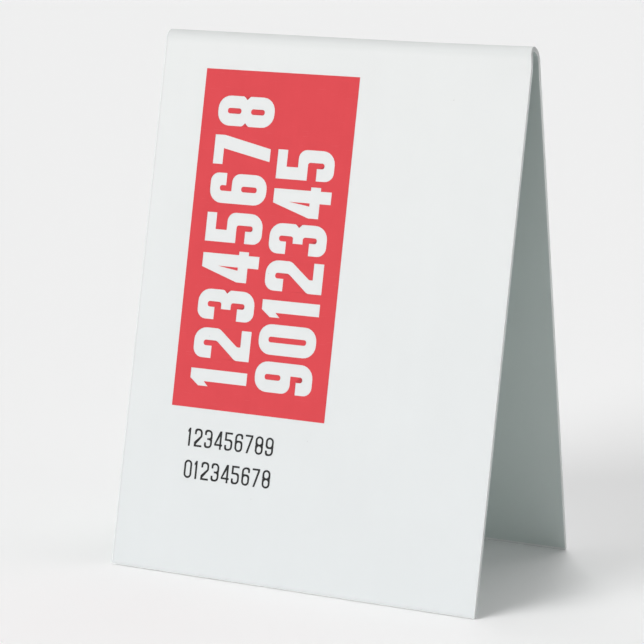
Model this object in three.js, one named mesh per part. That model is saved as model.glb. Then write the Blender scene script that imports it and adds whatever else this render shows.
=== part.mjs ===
// Tabletop tent sign: one strip of white rigid plastic sheet, softened along its middle and folded over
// into two leaning leaves that stand on their cut edges. The outer face of the front leaf carries a flat
// block of red ink. The sheet is modelled as its three stretches: front leaf, fold and rear leaf.
// X runs along the fold, -Y is the printed front, +Z is up, and the origin is on the table under the fold.

import * as THREE from "three";

// Sheet, in millimetres and degrees.
const signWidth = 127; // along the fold
const faceLength = 177.8; // from the crown of the fold down the outside of a leaf to its cut edge
const sheetThickness = 1.6;
const insideRadius = 1.9; // of the fold
const leanAngle = 13; // of each leaf from upright
const easedEdge = 0.15; // radius worn on the cut edges
const seamGap = 0.3; // between the fold and each leaf

// Bent by hand, the fold runs out of true towards its right end. Its crown is drawn forward and up there.
const crownForward = 2.1; // at the end, in millimetres
const crownRise = 0.7;
const crownRun = 45; // along the fold, from where it leaves the true line to the end
const runPower = 1.5; // above 1, so that it leaves the line softly

// Ink block on the front leaf, in millimetres.
const blockWidth = 54.3;
const blockLength = 110.1;
const blockSideMargin = 16; // from the left edge of the leaf, seen from the front
const blockTopMargin = 13.8; // from the crown of the fold, along the face
const inkThickness = 0.1;
const inkGap = 0.1; // between the ink and the sheet

// Facets.
const cornerSteps = 3; // of each eased edge
const foldSteps = 36;
const runSteps = 9;

const lean = THREE.MathUtils.degToRad(leanAngle);
const halfFold = Math.PI / 2 - lean; // half the angle that the fold turns through
const outsideRadius = insideRadius + sheetThickness;
const middleRadius = insideRadius + sheetThickness / 2;
const crownToLeaf = outsideRadius * halfFold; // along the outside of the fold
const leafLength = faceLength - crownToLeaf;
const easing = Math.min(easedEdge, sheetThickness / 5);

const sheetMaterial = new THREE.MeshStandardMaterial({ color: 0xebedec, roughness: 0.35, metalness: 0 });
const inkMaterial = new THREE.MeshStandardMaterial({ color: 0xe25359, roughness: 0.4, metalness: 0 });

// The cut section of the sheet: a long thin rectangle with eased corners, drawn in by inset all round.
// Each point is [along the fold, out of the sheet], counter-clockwise from the right end. The divisions
// are points along its two faces, from right to left.
function sheetSection(inset, divisions) {
  const halfWidth = signWidth / 2 - inset - easing;
  const halfThickness = sheetThickness / 2 - inset - easing;
  const [upperRight, upperLeft, lowerLeft, lowerRight] = [[1, 1], [-1, 1], [-1, -1], [1, -1]].map(
    ([sideX, sideN], corner) =>
      Array.from({ length: cornerSteps + 1 }, (_, step) => {
        const turn = (corner + step / cornerSteps) * (Math.PI / 2);
        return [
          sideX * halfWidth + easing * Math.cos(turn),
          sideN * halfThickness + easing * Math.sin(turn),
        ];
      }),
  );
  const upperFace = divisions.map((x) => [x, halfThickness + easing]);
  const lowerFace = divisions.map((x) => [x, -halfThickness - easing]).reverse();
  return [...upperRight, ...upperFace, ...upperLeft, ...lowerLeft, ...lowerFace, ...lowerRight];
}

// How far a point has gone out of true along the fold, from 0 to 1 at the right end.
function outOfTrue(x) {
  return Math.max(0, 1 - (signWidth / 2 - x) / crownRun) ** runPower;
}

// Closed body through a row of sections. A station has the middle of its section as [y, z], the way that
// the sheet faces there as an angle from +Z towards +Y, how far its outline is drawn in, and how much of
// the crown's run it takes part in.
function loft(stations, divisions = []) {
  const rings = stations.map(({ middle, facing, inset, share = 0 }) =>
    sheetSection(inset, divisions).map(([x, out]) => [
      x,
      middle[0] + out * Math.sin(facing) - crownForward * share * outOfTrue(x),
      middle[1] + out * Math.cos(facing) + crownRise * share * outOfTrue(x),
    ]),
  );
  const count = rings[0].length;
  const last = (rings.length - 1) * count;
  const index = [];
  for (let ring = 0; ring < rings.length - 1; ring++) {
    for (let i = 0; i < count; i++) {
      const here = ring * count + i;
      const next = ring * count + ((i + 1) % count);
      index.push(here, next, here + count, next, next + count, here + count);
    }
  }
  // The ends are closed by strips from one face of the sheet to the other.
  for (let i = 0; i < count / 2 - 1; i++) {
    const across = count - 1 - i;
    index.push(i, across - 1, i + 1, i, across, across - 1);
    index.push(last + i, last + i + 1, last + across - 1, last + i, last + across - 1, last + across);
  }
  const geometry = new THREE.BufferGeometry();
  geometry.setAttribute("position", new THREE.Float32BufferAttribute(rings.flat(2), 3));
  geometry.setIndex(index);
  geometry.computeVertexNormals();
  return geometry;
}

// A leaf hangs straight down from the fold's axis and faces -Y, and its foot is eased all round.
function leafGeometry() {
  const facing = -Math.PI / 2;
  const stations = [{ middle: [-middleRadius, -seamGap], facing, inset: 0 }];
  for (let step = 0; step <= cornerSteps; step++) {
    const turn = (step / cornerSteps) * (Math.PI / 2);
    stations.push({
      middle: [-middleRadius, -(leafLength - easing + easing * Math.sin(turn))],
      facing,
      inset: easing * (1 - Math.cos(turn)),
    });
  }
  return loft(stations);
}

// The fold runs round its axis from the top of one leaf to the top of the other. Its crown takes the whole
// of the run out of true, and its two edges, which meet the leaves, none of it.
function foldGeometry() {
  const stations = Array.from({ length: foldSteps + 1 }, (_, step) => {
    const facing = halfFold * (1 - (2 * step) / foldSteps);
    return {
      middle: [middleRadius * Math.sin(facing), middleRadius * Math.cos(facing)],
      facing,
      inset: 0,
      share: 1 - THREE.MathUtils.smoothstep(Math.abs(facing), 0, halfFold),
    };
  });
  const divisions = Array.from(
    { length: runSteps },
    (_, step) => signWidth / 2 - (crownRun * (step + 1)) / runSteps,
  );
  return loft(stations, divisions);
}

function namedMesh(name, geometry, material) {
  const mesh = new THREE.Mesh(geometry, material);
  mesh.name = name;
  return mesh;
}

// The ink block lies on the outer face of the front leaf, in the leaf's own upright frame.
function inkBlock() {
  const film = new THREE.BoxGeometry(blockWidth, inkThickness, blockLength);
  const mesh = namedMesh("front_print_block", film, inkMaterial);
  mesh.position.set(
    blockSideMargin + (blockWidth - signWidth) / 2,
    -(outsideRadius + inkGap + inkThickness / 2),
    crownToLeaf - blockTopMargin - blockLength / 2,
  );
  return mesh;
}

// A leaf and what lies on it, leaning about the fold's axis. Half a turn makes it the rear one.
function leaningLeaf(halfTurns, ...meshes) {
  const leaning = new THREE.Group();
  leaning.rotation.x = -lean;
  leaning.add(...meshes);
  const turned = new THREE.Group();
  turned.rotation.z = halfTurns * Math.PI;
  turned.add(leaning);
  return turned;
}

const foldAxis = new THREE.Group();
foldAxis.add(
  namedMesh("top_fold", foldGeometry(), sheetMaterial),
  leaningLeaf(0, namedMesh("front_panel", leafGeometry(), sheetMaterial), inkBlock()),
  leaningLeaf(1, namedMesh("rear_panel", leafGeometry(), sheetMaterial)),
);
// The fold's axis is as high as it takes for the feet to stand on the table.
foldAxis.position.z = -new THREE.Box3().setFromObject(foldAxis, true).min.z;

const tentSign = new THREE.Group();
tentSign.add(foldAxis);

export default tentSign;
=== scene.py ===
import math

import bmesh
import bpy
from mathutils import Matrix, Vector


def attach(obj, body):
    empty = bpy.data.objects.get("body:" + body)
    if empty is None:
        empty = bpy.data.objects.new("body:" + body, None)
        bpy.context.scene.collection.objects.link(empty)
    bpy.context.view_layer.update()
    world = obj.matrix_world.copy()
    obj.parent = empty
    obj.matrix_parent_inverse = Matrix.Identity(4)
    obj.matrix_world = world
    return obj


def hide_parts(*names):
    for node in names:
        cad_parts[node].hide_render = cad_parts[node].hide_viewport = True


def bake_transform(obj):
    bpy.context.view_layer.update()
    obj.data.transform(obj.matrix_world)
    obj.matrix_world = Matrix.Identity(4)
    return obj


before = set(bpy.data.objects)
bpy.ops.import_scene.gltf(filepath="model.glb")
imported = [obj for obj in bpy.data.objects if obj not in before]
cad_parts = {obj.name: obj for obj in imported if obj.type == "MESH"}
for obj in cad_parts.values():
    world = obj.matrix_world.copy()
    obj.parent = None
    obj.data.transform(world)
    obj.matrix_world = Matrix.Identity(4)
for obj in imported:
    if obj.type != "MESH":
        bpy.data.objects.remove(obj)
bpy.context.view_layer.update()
print("frame loaded:", ", ".join(sorted(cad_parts)))

mm = 0.001


# Small helpers for node trees.

def addNode(tree, kind, **settings):
    node = tree.nodes.new(kind)
    for name, value in settings.items():
        setattr(node, name, value)
    return node


def feed(tree, socket, value):
    # a socket takes another node's output or a plain value, and a tone becomes an opaque colour
    if isinstance(value, bpy.types.NodeSocket):
        tree.links.new(value, socket)
    elif socket.type == "RGBA":
        socket.default_value = (*value, 1.0)
    else:
        socket.default_value = value


def calculate(tree, operation, *values):
    node = addNode(tree, "ShaderNodeMath", operation=operation)
    for socket, value in zip(node.inputs, values):
        feed(tree, socket, value)
    return node.outputs["Value"]


def splitVector(tree, vector):
    node = addNode(tree, "ShaderNodeSeparateXYZ")
    feed(tree, node.inputs["Vector"], vector)
    return node.outputs


def scaleVector(tree, vector, factors):
    node = addNode(tree, "ShaderNodeVectorMath", operation="MULTIPLY")
    feed(tree, node.inputs[0], vector)
    feed(tree, node.inputs[1], factors)
    return node.outputs["Vector"]


def noise(tree, vector, size, detail=2.0, roughness=0.5):
    # size is the width of a patch, in the vector's own units
    node = addNode(tree, "ShaderNodeTexNoise")
    feed(tree, node.inputs["Vector"], vector)
    feed(tree, node.inputs["Scale"], calculate(tree, "DIVIDE", 1.0, size))
    feed(tree, node.inputs["Detail"], detail)
    feed(tree, node.inputs["Roughness"], roughness)
    return node.outputs["Fac"]


def remap(tree, value, start, end, atStart, atEnd, smooth=False):
    # start and end may stand in either order, and the result stays between atStart and atEnd
    node = addNode(tree, "ShaderNodeMapRange", clamp=True)
    if smooth:
        node.interpolation_type = "SMOOTHSTEP"
    for socket, given in zip(node.inputs, (value, start, end, atStart, atEnd)):
        feed(tree, socket, given)
    return node.outputs["Result"]


def mixColours(tree, share, first, second):
    # the node's colour sockets stand after those for numbers and vectors, under the same names
    node = addNode(tree, "ShaderNodeMix", data_type="RGBA")
    feed(tree, node.inputs["Factor"], share)
    feed(tree, node.inputs[6], first)
    feed(tree, node.inputs[7], second)
    return node.outputs[2]


def newGroup(name, inputs, outputs):
    group = bpy.data.node_groups.new(name, "ShaderNodeTree")
    for label, kind in inputs.items():
        group.interface.new_socket(label, in_out="INPUT", socket_type="NodeSocket" + kind)
    for label, kind in outputs.items():
        group.interface.new_socket(label, in_out="OUTPUT", socket_type="NodeSocket" + kind)
    given = addNode(group, "NodeGroupInput").outputs
    result = addNode(group, "NodeGroupOutput").inputs
    return group, given, result


def useGroup(tree, group, values):
    node = addNode(tree, "ShaderNodeGroup", node_tree=group)
    for label, value in values.items():
        feed(tree, node.inputs[label], value)
    return node.outputs


# Effects that more than one finish uses. Place is in millimetres on the flat blank.

def makeSatinSkin():
    # long soft waves with a fine grain on them, as extruded sheet has
    group, given, result = newGroup(
        "satinSkin",
        {"Place": "Vector", "Wave Size": "Float", "Grain Size": "Float", "Grain Share": "Float"},
        {"Height": "Float"},
    )
    waves = noise(group, given["Place"], given["Wave Size"], detail=1.0)
    grain = noise(group, given["Place"], given["Grain Size"], detail=3.0, roughness=0.6)
    grainPart = calculate(group, "MULTIPLY", grain, given["Grain Share"])
    feed(group, result["Height"], calculate(group, "ADD", waves, grainPart))
    return group


def makeUnevenTone():
    # broad faint clouds and drawn-out streaks, a little darker than the tone
    group, given, result = newGroup(
        "unevenTone",
        {"Place": "Vector", "Tone": "Color", "Contrast": "Float", "Cloud Size": "Float"},
        {"Colour": "Color", "Cloud": "Float"},
    )
    streakStretch = (1.0, 0.04, 1.0)  # streaks run a long way across the blank
    streakWidth = 0.2  # of a cloud
    cloudShare = 0.7  # against the streaks' share
    clouds = noise(group, given["Place"], given["Cloud Size"], detail=3.0)
    streaks = noise(group, scaleVector(group, given["Place"], streakStretch),
                    calculate(group, "MULTIPLY", given["Cloud Size"], streakWidth))
    both = calculate(group, "ADD", calculate(group, "MULTIPLY", clouds, cloudShare),
                     calculate(group, "MULTIPLY", streaks, 1 - cloudShare))
    cloud = remap(group, both, 0.35, 0.65, 0.0, 1.0)
    darker = calculate(group, "MULTIPLY", cloud, given["Contrast"])
    dimmed = addNode(group, "ShaderNodeVectorMath", operation="SCALE")
    feed(group, dimmed.inputs["Vector"], given["Tone"])
    feed(group, dimmed.inputs["Scale"], calculate(group, "SUBTRACT", 1.0, darker))
    feed(group, result["Colour"], dimmed.outputs["Vector"])
    feed(group, result["Cloud"], cloud)
    return group


def makeRimWear():
    # 1 at the cut outline of the blank, fading inwards in broken patches
    group, given, result = newGroup(
        "rimWear",
        {"Place": "Vector", "Half Width": "Float", "Half Length": "Float", "Reach": "Float"},
        {"Mask": "Float"},
    )
    patchSize = 1.3
    place = splitVector(group, given["Place"])
    sideways = calculate(group, "SUBTRACT", given["Half Width"], calculate(group, "ABSOLUTE", place["X"]))
    endways = calculate(group, "SUBTRACT", given["Half Length"], calculate(group, "ABSOLUTE", place["Y"]))
    nearest = calculate(group, "MINIMUM", sideways, endways)
    fade = remap(group, nearest, 0.0, given["Reach"], 1.0, 0.0, smooth=True)
    broken = remap(group, noise(group, given["Place"], patchSize, detail=4.0), 0.42, 0.62, 0.0, 1.0)
    feed(group, result["Mask"], calculate(group, "MULTIPLY", fade, broken))
    return group


def makeHandling():
    # hairline scuffs in two slants, and a few specks of dust
    group, given, result = newGroup(
        "handling",
        {"Place": "Vector", "Amount": "Float"},
        {"Scuffs": "Float", "Specks": "Float"},
    )
    scuffDirections = ((28.0, 0.035), (-51.0, 0.05))  # slant in degrees, and a small factor for long scuffs
    scuffWidth = 0.35
    specksPerMillimetre = 0.11
    scuffs = []
    for slant, stretch in scuffDirections:
        turned = addNode(group, "ShaderNodeMapping")
        feed(group, turned.inputs["Vector"], given["Place"])
        turned.inputs["Rotation"].default_value = (0.0, 0.0, math.radians(slant))
        turned.inputs["Scale"].default_value = (stretch, 1.0, 1.0)
        fine = noise(group, turned.outputs["Vector"], scuffWidth)
        scuffs.append(remap(group, fine, 0.70, 0.74, 0.0, 1.0))
    dots = addNode(group, "ShaderNodeTexVoronoi", feature="F1")
    feed(group, dots.inputs["Vector"], given["Place"])
    feed(group, dots.inputs["Scale"], specksPerMillimetre)
    specks = remap(group, dots.outputs["Distance"], 0.016, 0.024, 1.0, 0.0)
    for label, marks in (("Scuffs", calculate(group, "MAXIMUM", *scuffs)), ("Specks", specks)):
        feed(group, result[label], calculate(group, "MULTIPLY", marks, given["Amount"]))
    return group


def makeFoldShadeBand():
    # 1 over the strip round the fold, with a soft border, where shade is painted
    group, given, result = newGroup(
        "foldShadeBand",
        {"Place": "Vector", "Half Band": "Float"},
        {"Mask": "Float"},
    )
    fullShare = 0.35  # of the strip, where the mask is at its full
    across = calculate(group, "ABSOLUTE", splitVector(group, given["Place"])["Y"])
    fullReach = calculate(group, "MULTIPLY", given["Half Band"], fullShare)
    feed(group, result["Mask"], remap(group, across, fullReach, given["Half Band"], 1.0, 0.0, smooth=True))
    return group


satinSkin = makeSatinSkin()
unevenTone = makeUnevenTone()
rimWear = makeRimWear()
handling = makeHandling()
foldShadeBand = makeFoldShadeBand()
print("shared effects made")


def newFinish(name):
    # every finish reads its place on the flat blank from the mesh, in millimetres
    material = bpy.data.materials.new(name)
    material.use_nodes = True
    tree = material.node_tree
    place = addNode(tree, "ShaderNodeAttribute", attribute_name="flatPlace").outputs["Vector"]
    return material, tree, tree.nodes["Principled BSDF"], place


def addBump(tree, shader, height, depth):
    bump = addNode(tree, "ShaderNodeBump")
    bump.inputs["Strength"].default_value = 1.0
    bump.inputs["Distance"].default_value = depth * mm
    feed(tree, bump.inputs["Height"], height)
    feed(tree, shader.inputs["Normal"], bump.outputs["Normal"])


# The sheet and its three finishes.

sheet = {
    "width": 127.0,  # all in millimetres and degrees
    "faceLength": 177.8,  # from the crown of the fold to a cut edge, along the outside
    "thickness": 1.6,
    "outsideRadius": 3.5,
    "lean": 13.0,  # of each leaf from upright
    "easedEdge": 0.15,
    "easedSteps": 3,
    "foldSteps": 56,
    "crownForward": 2.1,  # at its right end the crown of the fold is drawn forward by this
    "crownRise": 0.7,  # and up by this
    "crownRun": 45.0,  # and it leaves the true line this far before the end
    "runPower": 1.5,  # above 1, so that it leaves the line softly
    "runFront": 8.6,  # the sheet follows the crown this far down the front
    "runRear": 6.4,  # and this far down the back
    "runSteps": 12,
    "outsideToneAndShade": ((0.724, 0.734, 0.728), (0.687, 0.710, 0.714)),  # beside the fold, and at the foot, with painted shade: darker and cooler towards the foot
    # inside, beside the fold and at the foot, with painted shade: much darker towards the fold
    "insideToneAndShade": ((0.574, 0.632, 0.613), (0.748, 0.808, 0.787)),
    "cloudContrast": 0.015,
    "cloudSize": 38.0,
    "foldShadeTone": (0.642, 0.657, 0.652),  # painted shade over the strip round the fold, where the sheet was softened and bent, on the outside
    "foldShadeReach": 6.2,
    "wornTone": (0.63, 0.64, 0.635),  # at the rim of the outer face
    "wornShare": 0.5,
    "wornReach": 0.9,
    "edgeShadeShare": 0.11,  # painted shade: the outer face is darker along its left end and its feet
    "edgeShadeWidth": 1.1,
    "speckTone": (0.35, 0.34, 0.32),
    "speckShare": 0.35,
    "roughness": (0.48, 0.54),  # from the clearest parts of a face to its clouds
    "scuffRougher": 0.10,
    "wornRougher": 0.15,
    "waveSize": 2.6,
    "grainSize": 0.18,
    "grainShare": 0.10,
    "dentShare": 0.12,  # of the skin's height, that scuffs and wear lie deeper
    "skinDepth": 0.006,
    "edgeTone": (0.80, 0.82, 0.81),  # of the cut edges
    "edgeRoughness": (0.42, 0.62),
    "edgeDepth": 0.02,  # of its saw marks
    "foldEdgeShadeTone": (0.56, 0.575, 0.57),  # painted shade on the cut edge round the fold
    "foldEdgeShadeReach": 9.0,
    "footLightTone": (0.95, 0.96, 0.95),  # painted light: the feet, and a narrow line beside them inside, are paler
    "footLightWidth": 0.75,
    "scatterShare": 0.2,  # of the light goes into the sheet and comes out beside
    "scatterReach": 1.0,
}


def addScatter(shader):
    shader.inputs["Subsurface Weight"].default_value = sheet["scatterShare"]
    shader.inputs["Subsurface Radius"].default_value = (1.0, 1.0, 1.0)
    shader.inputs["Subsurface Scale"].default_value = sheet["scatterReach"] * mm


def shadeAndWearOuterFace(tree, place, colour, beforeFoot, rim):
    # painted shade along its left end and its feet and over the bend, and worn at the rim
    fromLeft = calculate(tree, "ADD", splitVector(tree, place)["X"], sheet["width"] / 2)
    nearest = calculate(tree, "MINIMUM", fromLeft, beforeFoot)
    # painted shade, darker along the left end and the feet
    leftAndFootShade = remap(tree, nearest, 0.0, sheet["edgeShadeWidth"], sheet["edgeShadeShare"], 0.0)
    colour = mixColours(tree, leftAndFootShade, colour, (0.0, 0.0, 0.0))
    # painted shade over the bend of the fold
    band = useGroup(tree, foldShadeBand, {"Place": place, "Half Band": sheet["foldShadeReach"]})
    colour = mixColours(tree, band["Mask"], colour, sheet["foldShadeTone"])
    worn = calculate(tree, "MULTIPLY", rim, sheet["wornShare"])
    return mixColours(tree, worn, colour, sheet["wornTone"])


def paintFootLightLine(tree, colour, beforeFoot):
    # a narrow line of painted light beside each foot
    width, border = sheet["footLightWidth"], 0.1
    line = remap(tree, beforeFoot, width, width + border, 1.0, 0.0)
    return mixColours(tree, line, colour, sheet["footLightTone"])


def finishFace(name, tones, outside):
    material, tree, shader, place = newFinish(name)
    addScatter(shader)
    fromCrown = calculate(tree, "ABSOLUTE", splitVector(tree, place)["Y"])
    beforeFoot = calculate(tree, "SUBTRACT", sheet["faceLength"], fromCrown)
    # the two tones run from beside the fold to the foot, and the change between them is painted shade
    downTheLeaf = remap(tree, fromCrown, 0.0, sheet["faceLength"], 0.0, 1.0)
    clouds = useGroup(tree, unevenTone, {
        "Place": place, "Tone": mixColours(tree, downTheLeaf, *tones),
        "Contrast": sheet["cloudContrast"], "Cloud Size": sheet["cloudSize"],
    })
    rim = useGroup(tree, rimWear, {
        "Place": place, "Half Width": sheet["width"] / 2, "Half Length": sheet["faceLength"],
        "Reach": sheet["wornReach"],
    })["Mask"]
    marks = useGroup(tree, handling, {"Place": place, "Amount": 1.0})
    if outside:
        colour = shadeAndWearOuterFace(tree, place, clouds["Colour"], beforeFoot, rim)
    else:
        colour = paintFootLightLine(tree, clouds["Colour"], beforeFoot)
    dusty = calculate(tree, "MULTIPLY", marks["Specks"], sheet["speckShare"])
    feed(tree, shader.inputs["Base Color"], mixColours(tree, dusty, colour, sheet["speckTone"]))

    # clouds, scuffs and the worn rim are rougher, and scuffs and wear lie a little deeper
    shader.inputs["Specular IOR Level"].default_value = 0.5
    roughness = remap(tree, clouds["Cloud"], 0.0, 1.0, *sheet["roughness"])
    for mask, rougher in ((marks["Scuffs"], sheet["scuffRougher"]), (rim, sheet["wornRougher"])):
        roughness = calculate(tree, "ADD", roughness, calculate(tree, "MULTIPLY", mask, rougher))
    feed(tree, shader.inputs["Roughness"], roughness)
    skin = useGroup(tree, satinSkin, {
        "Place": place, "Wave Size": sheet["waveSize"],
        "Grain Size": sheet["grainSize"], "Grain Share": sheet["grainShare"],
    })
    worked = calculate(tree, "ADD", marks["Scuffs"], rim)
    dents = calculate(tree, "MULTIPLY", worked, sheet["dentShare"])
    addBump(tree, shader, calculate(tree, "SUBTRACT", skin["Height"], dents), sheet["skinDepth"])
    return material


def finishEdge():
    # sawn and scraped: marks run straight through the thickness, closer than they are long
    material, tree, shader, place = newFinish("cutSheetEdge")
    addScatter(shader)
    tone = useGroup(tree, unevenTone, {
        "Place": place, "Tone": sheet["edgeTone"], "Contrast": 0.08, "Cloud Size": 6.0,
    })
    # painted shade on the cut edge round the fold
    band = useGroup(tree, foldShadeBand, {"Place": place, "Half Band": sheet["foldEdgeShadeReach"]})
    colour = mixColours(tree, band["Mask"], tone["Colour"], sheet["foldEdgeShadeTone"])
    fromCrown = calculate(tree, "ABSOLUTE", splitVector(tree, place)["Y"])
    # the faces of the feet take the same painted light
    atFoot = calculate(tree, "GREATER_THAN", fromCrown, sheet["faceLength"] - sheet["easedEdge"])
    feed(tree, shader.inputs["Base Color"], mixColours(tree, atFoot, colour, sheet["footLightTone"]))
    throughSheet = scaleVector(tree, place, (1.0, 1.0, 0.05))
    sawMarks = noise(tree, throughSheet, 0.22, detail=3.0, roughness=0.65)
    feed(tree, shader.inputs["Roughness"], remap(tree, sawMarks, 0.3, 0.7, *sheet["edgeRoughness"]))
    skin = useGroup(tree, satinSkin, {
        "Place": place, "Wave Size": 1.4, "Grain Size": 0.12, "Grain Share": 0.3,
    })
    height = calculate(tree, "ADD", sawMarks, calculate(tree, "MULTIPLY", skin["Height"], 0.4))
    addBump(tree, shader, height, sheet["edgeDepth"])
    return material


outerFace = finishFace("satinOuterFace", sheet["outsideToneAndShade"], outside=True)
innerFace = finishFace("satinInnerFace", sheet["insideToneAndShade"], outside=False)
cutEdge = finishEdge()
print("sheet finishes made")


# Every piece is laid out on the flat blank and folded by one tree.
# On the blank X runs along the fold, Y from the front foot to the rear foot, and Z out of the outer face.

def bendRoundFold(tree, given, flat):
    # round the bend the blank follows the arc, and past its ends it goes on straight
    halfArc = calculate(tree, "MULTIPLY", given["Outside Radius"], given["Half Fold"])
    onArc = calculate(tree, "MAXIMUM", calculate(tree, "MINIMUM", flat["Y"], halfArc),
                      calculate(tree, "MULTIPLY", halfArc, -1.0))
    beyond = calculate(tree, "SUBTRACT", flat["Y"], onArc)
    angle = calculate(tree, "DIVIDE", onArc, given["Outside Radius"])
    radius = calculate(tree, "ADD", given["Outside Radius"], flat["Z"])
    sine = calculate(tree, "SINE", angle)
    cosine = calculate(tree, "COSINE", angle)
    rearward = calculate(tree, "ADD", calculate(tree, "MULTIPLY", radius, sine),
                         calculate(tree, "MULTIPLY", beyond, cosine))
    upward = calculate(tree, "SUBTRACT", calculate(tree, "MULTIPLY", radius, cosine),
                       calculate(tree, "MULTIPLY", beyond, sine))
    return rearward, upward


def shareOfRun(tree, given, flat):
    # towards the right end the crown runs out of true, and the sheet on both sides follows it
    runStart = calculate(tree, "SUBTRACT", given["Right End"], given["Crown Run"])
    along = remap(tree, flat["X"], runStart, given["Right End"], 0.0, 1.0)
    frontStart = calculate(tree, "MULTIPLY", given["Run Front"], -1.0)
    frontShare = remap(tree, flat["Y"], frontStart, 0.0, 0.0, 1.0, smooth=True)
    rearShare = remap(tree, flat["Y"], given["Run Rear"], 0.0, 0.0, 1.0, smooth=True)
    return calculate(tree, "MULTIPLY", calculate(tree, "POWER", along, given["Run Power"]),
                     calculate(tree, "MULTIPLY", frontShare, rearShare))


def paintFaces(tree, given, geometry, facing):
    # faces that looked out of the flat blank, or into it, are its two skins, and the rest is cut edge
    square = 0.99
    choices = (
        ("Edge Finish", None),
        ("Outer Finish", calculate(tree, "GREATER_THAN", facing, square)),
        ("Inner Finish", calculate(tree, "LESS_THAN", facing, -square)),
    )
    for finish, chosen in choices:
        paint = addNode(tree, "GeometryNodeSetMaterial")
        feed(tree, paint.inputs["Geometry"], geometry)
        feed(tree, paint.inputs["Material"], given[finish])
        if chosen is not None:
            feed(tree, paint.inputs["Selection"], chosen)
        geometry = paint.outputs["Geometry"]
    return geometry


def makeFoldTree():
    tree = bpy.data.node_groups.new("foldFlatBlank", "GeometryNodeTree")
    inputs = {
        "Flat": "Geometry", "Outside Radius": "Float", "Half Fold": "Float", "Axis Height": "Float",
        "Right End": "Float", "Crown Forward": "Float", "Crown Rise": "Float", "Crown Run": "Float",
        "Run Power": "Float", "Run Front": "Float", "Run Rear": "Float",
        "Outer Finish": "Material", "Inner Finish": "Material", "Edge Finish": "Material",
    }
    for label, kind in inputs.items():
        tree.interface.new_socket(label, in_out="INPUT", socket_type="NodeSocket" + kind)
    tree.interface.new_socket("Folded", in_out="OUTPUT", socket_type="NodeSocketGeometry")
    given = addNode(tree, "NodeGroupInput").outputs
    position = addNode(tree, "GeometryNodeInputPosition").outputs["Position"]

    # the place on the flat blank stays with each point, in millimetres, for the finishes
    keepPlace = addNode(tree, "GeometryNodeStoreNamedAttribute", data_type="FLOAT_VECTOR", domain="POINT")
    keepPlace.inputs["Name"].default_value = "flatPlace"
    feed(tree, keepPlace.inputs["Geometry"], given["Flat"])
    feed(tree, keepPlace.inputs["Value"], scaleVector(tree, position, (1 / mm, 1 / mm, 1 / mm)))

    # which way each face of the flat blank looks decides its finish
    keepFacing = addNode(tree, "GeometryNodeCaptureAttribute", domain="FACE")
    keepFacing.capture_items.new("VECTOR", "Facing")
    feed(tree, keepFacing.inputs["Geometry"], keepPlace.outputs["Geometry"])
    feed(tree, keepFacing.inputs["Facing"], addNode(tree, "GeometryNodeInputNormal").outputs["Normal"])
    facing = splitVector(tree, keepFacing.outputs["Facing"])["Z"]

    flat = splitVector(tree, position)
    rearward, upward = bendRoundFold(tree, given, flat)
    share = shareOfRun(tree, given, flat)
    forward = calculate(tree, "MULTIPLY", share, given["Crown Forward"])
    risen = calculate(tree, "ADD", upward, calculate(tree, "MULTIPLY", share, given["Crown Rise"]))
    folded = addNode(tree, "ShaderNodeCombineXYZ")
    feed(tree, folded.inputs["X"], flat["X"])
    feed(tree, folded.inputs["Y"], calculate(tree, "SUBTRACT", rearward, forward))
    feed(tree, folded.inputs["Z"], calculate(tree, "ADD", risen, given["Axis Height"]))
    bend = addNode(tree, "GeometryNodeSetPosition")
    feed(tree, bend.inputs["Geometry"], keepFacing.outputs["Geometry"])
    feed(tree, bend.inputs["Position"], folded.outputs["Vector"])

    realized = addNode(tree, "GeometryNodeRealizeInstances")
    feed(tree, realized.inputs["Geometry"], bend.outputs["Geometry"])
    painted = paintFaces(tree, given, realized.outputs["Geometry"], facing)
    feed(tree, addNode(tree, "NodeGroupOutput").inputs["Folded"], painted)
    return tree


foldTree = makeFoldTree()

lean = math.radians(sheet["lean"])
halfFold = math.pi / 2 - lean
insideRadius = sheet["outsideRadius"] - sheet["thickness"]
halfArc = sheet["outsideRadius"] * halfFold  # along the outside, from the crown to the end of the bend
footRise = (insideRadius + sheet["easedEdge"]) * math.sin(lean)
axisHeight = (sheet["faceLength"] - halfArc) * math.cos(lean) - footRise


def plainMesh(piece):
    # the piece's mesh as its modifiers leave it
    graph = bpy.context.evaluated_depsgraph_get()
    return bpy.data.meshes.new_from_object(piece.evaluated_get(graph))


def foldPiece(piece, outer, inner, edge):
    # folds a flat piece with the tree and leaves a plain mesh, shaded by its larger faces
    fold = piece.modifiers.new("fold", "NODES")
    fold.node_group = foldTree
    values = {
        "Outside Radius": sheet["outsideRadius"] * mm,
        "Half Fold": halfFold,
        "Axis Height": axisHeight * mm,
        "Right End": sheet["width"] / 2 * mm,
        "Crown Forward": sheet["crownForward"] * mm,
        "Crown Rise": sheet["crownRise"] * mm,
        "Crown Run": sheet["crownRun"] * mm,
        "Run Power": sheet["runPower"],
        "Run Front": sheet["runFront"] * mm,
        "Run Rear": sheet["runRear"] * mm,
        "Outer Finish": outer,
        "Inner Finish": inner,
        "Edge Finish": edge,
    }
    for item in foldTree.interface.items_tree:
        if item.name in values:
            fold[item.identifier] = values[item.name]
    piece.modifiers.new("evenShading", "WEIGHTED_NORMAL").weight = 100
    flatMesh = piece.data
    made = plainMesh(piece)
    piece.modifiers.clear()
    piece.data = made
    made.name = piece.name
    bpy.data.meshes.remove(flatMesh)
    return piece


def newPiece(name, data):
    piece = bpy.data.objects.new(name, data)
    bpy.context.scene.collection.objects.link(piece)
    return piece


def evenSteps(start, end, count):
    # places from start up to but not including end
    return [start + (end - start) * step / count for step in range(count)]


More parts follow.
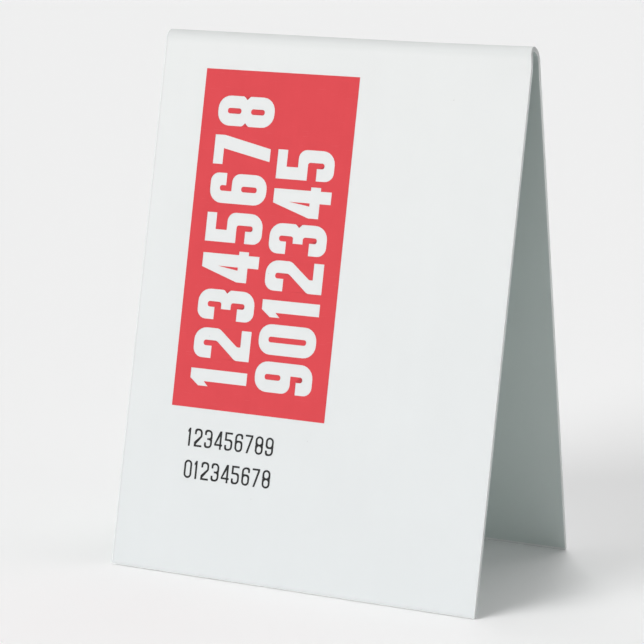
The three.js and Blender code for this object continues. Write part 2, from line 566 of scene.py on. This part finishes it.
def makeBlank():
    # a flat bar with eased edges, divided where it will bend and where the crown runs out of true
    size = Vector((sheet["width"], 2 * sheet["faceLength"], sheet["thickness"])) * mm
    bm = bmesh.new()
    bmesh.ops.create_cube(bm, size=1.0)
    bmesh.ops.scale(bm, vec=size, verts=bm.verts)
    bmesh.ops.translate(bm, vec=(0, 0, -size.z / 2), verts=bm.verts)
    bmesh.ops.bevel(bm, geom=bm.edges[:], offset=sheet["easedEdge"] * mm, segments=sheet["easedSteps"],
                    profile=0.5, affect="EDGES")
    halfSteps = sheet["runSteps"] // 2
    acrossPlaces = (evenSteps(-sheet["runFront"], -halfArc, halfSteps)
                    + evenSteps(-halfArc, halfArc, sheet["foldSteps"])
                    + evenSteps(halfArc, sheet["runRear"], halfSteps) + [sheet["runRear"]])
    alongPlaces = evenSteps(sheet["width"] / 2 - sheet["crownRun"], sheet["width"] / 2, sheet["runSteps"])
    for direction, places in ((Vector((0, 1, 0)), acrossPlaces), (Vector((1, 0, 0)), alongPlaces)):
        for place in places:
            bmesh.ops.bisect_plane(bm, geom=bm.verts[:] + bm.edges[:] + bm.faces[:],
                                   plane_co=direction * place * mm, plane_no=direction)
    for face in bm.faces:
        face.smooth = True
    mesh = bpy.data.meshes.new("signSheet")
    bm.to_mesh(mesh)
    bm.free()
    return mesh


signSheet = foldPiece(newPiece("signSheet", makeBlank()), outerFace, innerFace, cutEdge)
print("sheet folded:", len(signSheet.data.polygons), "faces")


# Printed figures, drawn by their outlines.

def roundedOutline(corners, steps=6):
    # each corner is (across, up, radius of its rounding)
    points = []
    for index, (x, y, radius) in enumerate(corners):
        here = Vector((x, y))
        before = Vector(corners[index - 1][:2])
        after = Vector(corners[(index + 1) % len(corners)][:2])
        if radius <= 0:
            points.append(here)
            continue
        back = (before - here).normalized()
        ahead = (after - here).normalized()
        halfTurn = back.angle(ahead) / 2
        reach = min(radius / math.tan(halfTurn), (before - here).length / 2, (after - here).length / 2)
        rounding = reach * math.tan(halfTurn)
        centre = here + (back + ahead).normalized() * (rounding / math.sin(halfTurn))
        start = here + back * reach - centre
        end = here + ahead * reach - centre
        sweep = start.angle_signed(end)
        for step in range(steps + 1):
            turn = Matrix.Rotation(-sweep * step / steps, 2)
            points.append(centre + turn @ start)
    return points


def figureOutlines(digit, width, height, stem, bar, rounding):
    # one digit of a squarish alphabet: upright strokes are stem wide and level ones bar thick
    w, h, r = width, height, rounding
    right, top, middle = w - stem, h - bar, h / 2
    inside = max(rounding - stem, stem * 0.2)  # rounding of the inner corners
    hook = 0.30 * h  # from the foot to the end of a hooked stroke
    notch = 0.28 * stem  # at the waist
    lobe = min(1.0, 0.4 * r)

    def counter(low, high):
        return [(stem, low, inside), (right, low, inside), (right, high, inside), (stem, high, inside)]

    if digit == 0:
        return [[(0, 0, r), (w, 0, r), (w, h, r), (0, h, r)], counter(bar, top)]
    if digit == 1:
        left = w * 0.24
        flag = top - h * 0.15
        return [[
            (left, 0, 0), (left + stem, 0, 0), (left + stem, h, 0), (left + stem * 0.2, h, 0),
            (0, flag + bar, 0), (0, flag, 0), (left, flag + bar * 0.45, 0),
        ]]
    if digit == 2:
        heel = stem * 1.1
        return [[
            (0, 0, 0), (w, 0, 0), (w, bar, 0), (heel, bar, 0), (heel, bar * 1.35, stem * 0.3),
            (w, h * 0.57, r * 0.6), (w, h, r), (0, h, r), (0, h * 0.68, 0), (stem, h * 0.68, 0),
            (stem, top, inside), (right, top, inside), (right, h * 0.60, r * 0.4), (0, h * 0.25, r * 0.5),
        ]]
    if digit == 3:
        tip = w * 0.36
        high, low = middle + bar / 2, middle - bar / 2
        return [[
            (0, 0, r), (w, 0, r), (w, middle - notch, lobe), (w - notch, middle, 0),
            (w, middle + notch, lobe), (w, h, r), (0, h, r), (0, h - hook, 0), (stem, h - hook, 0),
            (stem, top, inside), (right, top, inside), (right, high, inside), (tip, high, 0),
            (tip, low, 0), (right, low, inside), (right, bar, inside), (stem, bar, inside),
            (stem, hook, 0), (0, hook, 0),
        ]]
    if digit == 4:
        post = w * 0.9
        low = h * 0.19
        high = low + bar
        arm = w * 1.02
        return [
            [(post - stem, 0, 0), (post, 0, 0), (post, low, 0), (arm, low, 0), (arm, high, 0),
             (post, high, 0), (post, h, 0), (post - stem * 1.15, h, 0), (0, high, 0), (0, low, 0),
             (post - stem, low, 0)],
            [(stem * 0.95, high, 0), (post - stem, high, 0), (post - stem, h * 0.72, 0)],
        ]
    if digit == 5:
        shoulder = h * 0.63
        tip = w * 0.96
        return [[
            (0, 0, r), (w, 0, r), (w, shoulder, r * 0.85), (stem, shoulder, 0), (stem, top, 0),
            (tip, top, 0), (tip, h, 0), (0, h, 0), (0, shoulder - bar, 0),
            (right, shoulder - bar, inside), (right, bar, inside), (stem, bar, inside),
            (stem, hook, 0), (0, hook, 0),
        ]]
    if digit in (6, 9):
        shoulder = h * 0.62
        end = h * 0.72
        outlines = [
            [(0, 0, r), (w, 0, r), (w, shoulder, r * 0.85), (stem, shoulder, 0), (stem, top, inside),
             (right, top, inside), (right, end, 0), (w, end, 0), (w, h, r), (0, h, r)],
            counter(bar, shoulder - bar),
        ]
        if digit == 9:  # a 6 turned half round
            outlines = [[(w - x, h - y, radius) for x, y, radius in outline] for outline in outlines]
        return outlines
    if digit == 7:
        foot = w * 0.18
        tip = w * 0.97
        return [[
            (foot, 0, 0), (foot + stem * 1.04, 0, 0), (tip, top, 0), (tip, h, 0),
            (0, h, 0), (0, top, 0), (tip - stem * 1.08, top, 0),
        ]]
    return [
        [(0, 0, r), (w, 0, r), (w, middle - notch, lobe), (w - notch, middle, 0), (w, middle + notch, lobe),
         (w, h, r), (0, h, r), (0, middle + notch, lobe), (notch, middle, 0), (0, middle - notch, lobe)],
        counter(bar, middle - bar / 2),
        counter(middle + bar / 2, top),
    ]


def rowOfFigures(digits, style, length):
    # the outlines of a row, spaced so that it fills its length
    widths = [style["narrow"] if digit == 1 else style["width"] for digit in digits]
    gap = (length - sum(widths)) / (len(digits) - 1)
    sizes = [style[name] for name in ("height", "stem", "bar", "rounding")]
    outlines = []
    start = 0
    for digit, width in zip(digits, widths):
        for outline in figureOutlines(digit, width, *sizes):
            outlines.append([point + Vector((start, 0)) for point in roundedOutline(outline)])
        start += width + gap
    return outlines


# The ink film and the two pieces printed with it, in millimetres on the flat blank.

film = {
    "low": -0.01,  # it is bedded this deep in the face
    "high": 0.05,  # and stands this far proud of it
    "roughness": 0.55,
    "roughnessSpread": 0.03,
    "mottle": 0.03,
    "mottleSize": 9.0,
    "scuffShare": 0.15,
    "skinDepth": 0.004,
}

block = {
    "tone": (0.622, 0.053, 0.064),
    "left": -47.5,
    "width": 54.3,
    "top": 13.8,  # from the crown, down the face
    "length": 110.1,
    "figures": {"height": 20.2, "width": 9.8, "narrow": 6.4, "stem": 4.0, "bar": 3.5, "rounding": 4.3},
    # rows that climb the block: digits, baseline across the face, start and end down from the crown
    "rows": (
        ((1, 2, 3, 4, 5, 6, 7, 8), -21.7, 116.6, 22.2),
        ((9, 0, 1, 2, 3, 4, 5), 1.2, 116.2, 38.0),
    ),
}

smallPrint = {
    "tone": (0.012, 0.012, 0.012),
    "figures": {"height": 5.9, "width": 2.75, "narrow": 1.6, "stem": 0.62, "bar": 0.6, "rounding": 1.37},
    # level rows under the block: digits, left and right ends, baseline down from the crown
    "rows": (
        ((1, 2, 3, 4, 5, 6, 7, 8, 9), -40.6, -9.9, 136.4),
        ((0, 1, 2, 3, 4, 5, 6, 7, 8), -40.7, -9.9, 146.8),
    ),
}


def finishInk(name, tone):
    # flat ink with a faint mottle, paler where it is scuffed
    material, tree, shader, place = newFinish(name)
    mottle = useGroup(tree, unevenTone, {
        "Place": place, "Tone": tone, "Contrast": film["mottle"], "Cloud Size": film["mottleSize"],
    })
    marks = useGroup(tree, handling, {"Place": place, "Amount": 0.8})
    scuffed = calculate(tree, "MULTIPLY", marks["Scuffs"], film["scuffShare"])
    paler = tuple(channel * 0.8 + 0.2 for channel in tone)
    feed(tree, shader.inputs["Base Color"], mixColours(tree, scuffed, mottle["Colour"], paler))
    shader.inputs["Specular IOR Level"].default_value = 0.5
    smoothest = film["roughness"] - film["roughnessSpread"]
    roughest = film["roughness"] + film["roughnessSpread"]
    roughness = remap(tree, mottle["Cloud"], 0.0, 1.0, smoothest, roughest)
    rougher = calculate(tree, "MULTIPLY", marks["Scuffs"], 0.08)
    feed(tree, shader.inputs["Roughness"], calculate(tree, "ADD", roughness, rougher))
    skin = useGroup(tree, satinSkin, {
        "Place": place, "Wave Size": 1.1, "Grain Size": 0.09, "Grain Share": 0.35,
    })
    addBump(tree, shader, skin["Height"], film["skinDepth"])
    return material


def fillOutlines(name, outlines):
    # an outline inside another cuts a hole in it, and one inside the hole is filled again
    drawing = bpy.data.curves.new(name, "CURVE")
    drawing.dimensions = "2D"
    drawing.fill_mode = "BOTH"
    drawing.extrude = (film["high"] - film["low"]) / 2 * mm
    for outline in outlines:
        spline = drawing.splines.new("POLY")
        spline.points.add(len(outline) - 1)
        for corner, point in zip(spline.points, outline):
            corner.co = (point.x * mm, point.y * mm, 0, 1)
        spline.use_cyclic_u = True
    holder = newPiece(name, drawing)
    mesh = plainMesh(holder)
    bpy.data.objects.remove(holder)
    bm = bmesh.new()
    bm.from_mesh(mesh)
    bmesh.ops.remove_doubles(bm, verts=bm.verts, dist=0.0005 * mm)
    bmesh.ops.recalc_face_normals(bm, faces=bm.faces)
    bmesh.ops.translate(bm, vec=(0, 0, (film["high"] + film["low"]) / 2 * mm), verts=bm.verts)
    bm.to_mesh(mesh)
    bm.free()
    return newPiece(name, mesh)


def drawBlock():
    # the block's own outline first, and the figures that it leaves open
    left, right = block["left"], block["left"] + block["width"]
    top, bottom = -block["top"], -block["top"] - block["length"]
    outlines = [[Vector(corner) for corner in ((left, bottom), (right, bottom), (right, top), (left, top))]]
    for digits, baseline, start, end in block["rows"]:
        for outline in rowOfFigures(digits, block["figures"], start - end):
            outlines.append([Vector((baseline - point.y, point.x - start)) for point in outline])
    return outlines


def drawSmallPrint():
    outlines = []
    for digits, left, right, baseline in smallPrint["rows"]:
        for outline in rowOfFigures(digits, smallPrint["figures"], right - left):
            outlines.append([Vector((left + point.x, point.y - baseline)) for point in outline])
    return outlines


def printPiece(name, outlines, ink):
    return foldPiece(fillOutlines(name, outlines), ink, ink, ink)


redBlock = printPiece("redBlock", drawBlock(), finishInk("redInkFilm", block["tone"]))
smallFigures = printPiece("smallFigures", drawSmallPrint(), finishInk("darkInkFilm", smallPrint["tone"]))
print("printing laid on the front face")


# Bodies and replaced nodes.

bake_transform(signSheet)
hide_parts("front_panel", "top_fold", "rear_panel")
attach(redBlock, "front_leg")
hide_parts("front_print_block")
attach(smallFigures, "front_leg")
print("pieces ride on their bodies")


# Floor, lights and camera.

stage = {
    "floorTone": (0.87, 0.88, 0.885),
    "seenTone": (0.985, 0.985, 0.985),  # of the floor, to the camera
    "distantTone": (0.863, 0.863, 0.863),  # of what lies past it
    "skyTone": (1.0, 1.0, 1.0),
    "skyStrength": 0.286,  # from all round
    "glowStrength": 1.29,  # of the glow that stands low behind the sign
    "glowPower": 2.0,  # how fast it fades upwards
    "floorReach": 5.0,  # metres each way
}

# suns: azimuth round from straight in front towards the right end, elevation, width of the source, strength
suns = {
    "overhead": {"azimuth": -112.0, "elevation": 83.0, "spread": 11.0, "strength": 0.60},
    "overBack": {"azimuth": 180.0, "elevation": 70.0, "spread": 40.0, "strength": 0.455},
    "frontLeft": {"azimuth": -31.0, "elevation": 15.0, "spread": 34.0, "strength": 2.50},
}

# degrees, metres and millimetres of lens, fitted to the straight edges in the photograph
view = {
    "azimuth": 26.574,  # round from straight in front towards the right end
    "elevation": 11.129,
    "roll": 0.203,
    "distance": 0.867973,
    "aimAcross": -0.039876,  # the point looked at, to the right of the middle
    "aimHeight": 0.090772,
    "lens": 149.563,
    "shiftAcross": 0.15528,
    "shiftUp": -0.05435,
}


def turnedFrom(azimuth, elevation):
    # unit vector towards something seen at that azimuth and elevation
    a, e = math.radians(azimuth), math.radians(elevation)
    return Vector((math.sin(a) * math.cos(e), -math.cos(a) * math.cos(e), math.sin(e)))


def makeFloor():
    bm = bmesh.new()
    bmesh.ops.create_grid(bm, x_segments=2, y_segments=2, size=stage["floorReach"])
    mesh = bpy.data.meshes.new("floor")
    bm.to_mesh(mesh)
    bm.free()
    floor = newPiece("floor", mesh)
    material = bpy.data.materials.new("paleFloor")
    material.use_nodes = True
    tree = material.node_tree
    shader = tree.nodes["Principled BSDF"]
    seen = addNode(tree, "ShaderNodeLightPath").outputs["Is Camera Ray"]
    feed(tree, shader.inputs["Base Color"], mixColours(tree, seen, stage["floorTone"], stage["seenTone"]))
    shader.inputs["Roughness"].default_value = 0.9
    shader.inputs["Specular IOR Level"].default_value = 0.0
    mesh.materials.append(material)


def makeSky():
    # an even light and a low glow behind the sign, while rays that see the distance find its own tone
    world = bpy.data.worlds.new("studio")
    bpy.context.scene.world = world
    world.use_nodes = True
    tree = world.node_tree
    light = tree.nodes["Background"]
    feed(tree, light.inputs["Color"], stage["skyTone"])
    towards = splitVector(tree, addNode(tree, "ShaderNodeTexCoord").outputs["Generated"])
    height = calculate(tree, "MAXIMUM", towards["Z"], 0.0)
    low = calculate(tree, "POWER", calculate(tree, "SUBTRACT", 1.0, height), stage["glowPower"])
    behind = calculate(tree, "MAXIMUM", towards["Y"], 0.0)
    glow = calculate(tree, "MULTIPLY", calculate(tree, "MULTIPLY", low, behind), stage["glowStrength"])
    feed(tree, light.inputs["Strength"], calculate(tree, "ADD", glow, stage["skyStrength"]))
    distance = addNode(tree, "ShaderNodeBackground")
    feed(tree, distance.inputs["Color"], stage["distantTone"])
    rays = addNode(tree, "ShaderNodeLightPath").outputs
    mirrored = calculate(tree, "MAXIMUM", rays["Is Glossy Ray"], rays["Is Transmission Ray"])
    mix = addNode(tree, "ShaderNodeMixShader")
    feed(tree, mix.inputs[0], calculate(tree, "MAXIMUM", rays["Is Camera Ray"], mirrored))
    feed(tree, mix.inputs[1], light.outputs["Background"])
    feed(tree, mix.inputs[2], distance.outputs["Background"])
    feed(tree, tree.nodes["World Output"].inputs["Surface"], mix.outputs["Shader"])


def addSun(name, azimuth, elevation, spread, strength):
    lamp = bpy.data.lights.new(name, "SUN")
    lamp.angle = math.radians(spread)
    lamp.energy = strength
    holder = newPiece(name, lamp)
    holder.rotation_mode = "QUATERNION"
    holder.rotation_quaternion = turnedFrom(azimuth, elevation).to_track_quat("Z", "Y")
    holder.visible_glossy = False  # the satin sheet shows no hot spot of the lamps


def addCamera():
    back = turnedFrom(view["azimuth"], view["elevation"])
    level = turnedFrom(view["azimuth"] + 90, 0)
    upright = back.cross(level)
    roll = math.radians(view["roll"])
    right = level * math.cos(roll) + upright * math.sin(roll)
    up = upright * math.cos(roll) - level * math.sin(roll)
    place = back * view["distance"] + level * view["aimAcross"] + Vector((0, 0, view["aimHeight"]))
    camera = bpy.data.cameras.new("photoView")
    camera.lens = view["lens"]
    camera.sensor_width = 36
    camera.shift_x = view["shiftAcross"]
    camera.shift_y = view["shiftUp"]
    camera.clip_start = 0.01
    camera.clip_end = 50
    holder = newPiece("photoView", camera)
    holder.matrix_world = Matrix.Translation(place) @ Matrix((right, up, back)).transposed().to_4x4()
    bpy.context.scene.camera = holder


makeFloor()
makeSky()
for name, sun in suns.items():
    addSun(name, **sun)
addCamera()
bpy.context.scene.view_settings.view_transform = "Standard"
print("stage lit")
